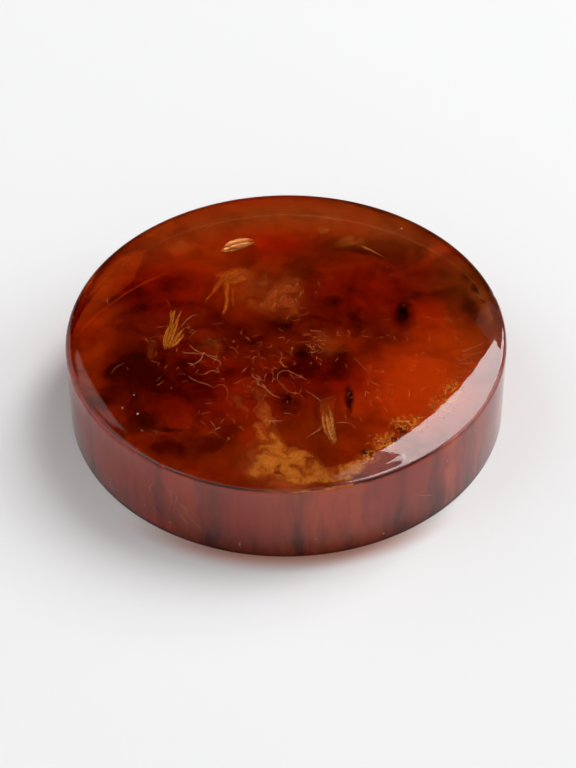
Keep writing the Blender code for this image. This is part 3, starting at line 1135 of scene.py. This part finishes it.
strands(
    "tangled_hairs",
    hair_material("hair_gold", (0.76, 0.56, 0.42), (0.56, 0.34, 0.22)),
    ((0.10, 7.9, STAR_TANGLE), (0.10, 7.9, KNOT)),
)
strands(
    "curled_hairs",
    hair_material("hair_copper", (0.66, 0.40, 0.30), (0.44, 0.23, 0.18)),
    ((0.085, 8.2, CURLED_HAIRS), (0.07, 7.6, FAINT_HAIRS)),
)
strands(
    "stray_hairs",
    hair_material("hair_faint", (1.0, 0.74, 0.60), (0.75, 0.40, 0.26)),
    ((0.05, 7.2, stray_paths(STRAY_FIELDS, STRAY_SEED)),),
)


# Dust and bubbles
# Tiny bubbles just under the polish, and bright specks of dust on it, all drawn as pale matt specks whose brightness is
# a painted glint. A speck is a column, a row and a radius.

BUBBLE_GLINTS = (
    (223, 379, 0.06), (184.7, 374.2, 0.05), (171.7, 388, 0.045), (184.4, 398, 0.04), (208.4, 399.3, 0.035),
    (326, 383.8, 0.05), (333.8, 277.6, 0.04), (361.9, 317, 0.035), (387.4, 267.3, 0.07), (335, 439, 0.08),
    (391, 275, 0.06), (269.5, 420.3, 0.08), (204.2, 353, 0.07), (401, 229, 0.13), (324, 230.6, 0.08),
    (430, 320.5, 0.04), (384, 440, 0.05), (407, 420.5, 0.05), (120, 322, 0.03), (155.6, 314.9, 0.04),
)
BUBBLE_HEIGHT = 7.7
DUST_GLINTS = (
    (137.7, 413.9, 0.08), (122.3, 407.9, 0.06), (141.9, 430.3, 0.055), (134, 395, 0.045), (378, 441, 0.045),
)
DUST_DIP = 0.01 * MM
WALL_DUST_GLINTS = (
    (447, 460.7, 0.06), (383.5, 533, 0.07), (114, 487.6, 0.05), (145, 504.6, 0.05), (170, 522, 0.06),
    (240, 544, 0.06), (316, 539, 0.04),
)
WALL_WISPS = (
    ((171, 489), (178, 496), (175, 504)),
    ((176, 497), (182, 505), (190, 512)),
    ((180, 502), (187, 508), (183, 515)),
    ((167, 487), (172, 496), (170, 507)),
    ((184, 509), (193, 520), (203, 528)),
    ((176, 508), (184, 517), (190, 524)),
    ((153, 483), (151, 489), (154, 496)),
    ((113, 477), (112, 483), (114, 490)),
    ((169, 519), (171, 523), (170, 527)),
    ((241, 540), (239, 544), (242, 547)),
    ((415, 494), (424, 495), (430, 494)),
)

# The bubbles are pale matt spheres: real bubbles, their brightness a painted glint.
bubble_form = bmesh.new()
for column, row, radius_mm in BUBBLE_GLINTS:
    spot = Matrix.Translation(seen_at(column, row, BUBBLE_HEIGHT))
    bmesh.ops.create_icosphere(bubble_form, subdivisions=1, radius=radius_mm * MM, matrix=spot)
bubbles = plain_mesh("bubbles", bubble_form)
# The specks of dust are pale matt spheres, bright as painted glints.
dust_form = bmesh.new()
for column, row, radius_mm in DUST_GLINTS:
    spot = Matrix.Translation(entry_point(column, row)[0] - Vector((0, 0, DUST_DIP)))
    bmesh.ops.create_icosphere(dust_form, subdivisions=1, radius=radius_mm * MM, matrix=spot)
for column, row, radius_mm in WALL_DUST_GLINTS:
    spot = Matrix.Translation(on_wall(column, row, DISC_RADIUS - radius_mm * MM))
    bmesh.ops.create_icosphere(dust_form, subdivisions=1, radius=radius_mm * MM, matrix=spot)
dust_glints = plain_mesh("dust_glints", dust_form)
strands(
    "wall_wisps",
    hair_material("wisp_tan", (0.74, 0.32, 0.15), (0.50, 0.18, 0.09)),
    ((0.09, 0.2, WALL_WISPS),),
    placed=lambda column, row, depth_mm: on_wall(column, row, DISC_RADIUS - depth_mm * MM),
)
for specks, material in (
    (bubbles, hair_material("bubble_painted_glint", (1.0, 0.90, 0.80), (0.95, 0.75, 0.60))),
    (dust_glints, hair_material("dust_painted_glint", (0.86, 0.82, 0.80), (0.75, 0.68, 0.64))),
):
    specks.data.shade_smooth()
    specks.data.materials.append(material)
    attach(specks, "root")
